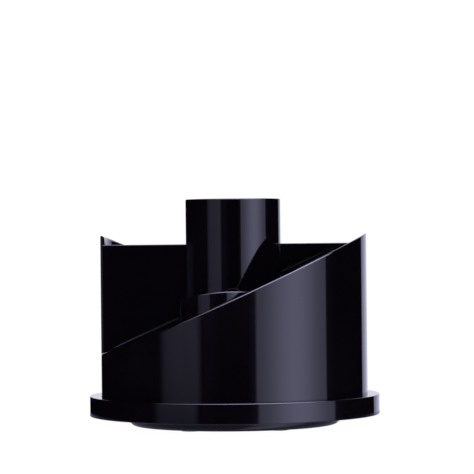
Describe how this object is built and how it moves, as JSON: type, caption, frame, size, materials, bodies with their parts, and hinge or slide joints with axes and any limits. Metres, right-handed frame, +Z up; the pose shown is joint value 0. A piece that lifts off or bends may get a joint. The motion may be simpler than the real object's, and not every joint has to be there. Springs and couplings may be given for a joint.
{
  "type": "rotating desk organizer",
  "caption": "Round black desk organizer that turns on a low foot: a tall central pen tube, sloping half-round walls, flat dividers and small clip cups.",
  "frame": {"origin": "on the turning axis, at the surface that the foot pads stand on", "axes": "+Z up along the turning axis, -Y is the front, where the sloping wall is low on the left and tall on the right"},
  "size_m": [0.1484, 0.1484, 0.1157],
  "materials": {
    "gloss_black": "polished moulded plastic, high gloss",
    "foot_black": "moulded plastic, semi gloss",
    "zinc_screw": "bright zinc plating",
    "bearing_steel": "turned steel, lightly oiled",
    "polished_steel": "polished",
    "natural_nylon": "moulded nylon, satin",
    "pad_rubber": "soft rubber, matte"
  },
  "bodies": {
    "foot": {"foot_disc": "foot_black", "spindle_bush": "natural_nylon", "lower_race": "bearing_steel", "thrust_washer": "natural_nylon", "foot_pads": "pad_rubber"},
    "carousel": {"turntable_tray": "gloss_black", "front_wall": "gloss_black", "back_wall": "gloss_black", "pen_tube": "gloss_black", "right_divider": "gloss_black", "left_divider": "gloss_black", "front_clip_cup": "gloss_black", "back_clip_cup": "gloss_black", "wall_screws": "zinc_screw", "cup_screws": "zinc_screw", "tube_screws": "zinc_screw", "upper_race": "bearing_steel", "retaining_washer": "zinc_screw", "pivot_screw": "zinc_screw"},
    "ball_ring": {"ball_cage": "natural_nylon", "bearing_balls": "polished_steel"}
  },
  "joints": [
    {"name": "tray_turn", "type": "hinge", "parent": "foot", "child": "carousel", "pos_m": [0, 0, 0.013], "axis": [0, 0, 1], "continuous": true},
    {"name": "ball_ring_turn", "type": "hinge", "parent": "foot", "child": "ball_ring", "pos_m": [0, 0, 0.013], "axis": [0, 0, 1], "continuous": true}
  ],
  "couplings": [
    {"joint": "ball_ring_turn", "follows": "tray_turn", "ratio": 0.5}
  ]
}
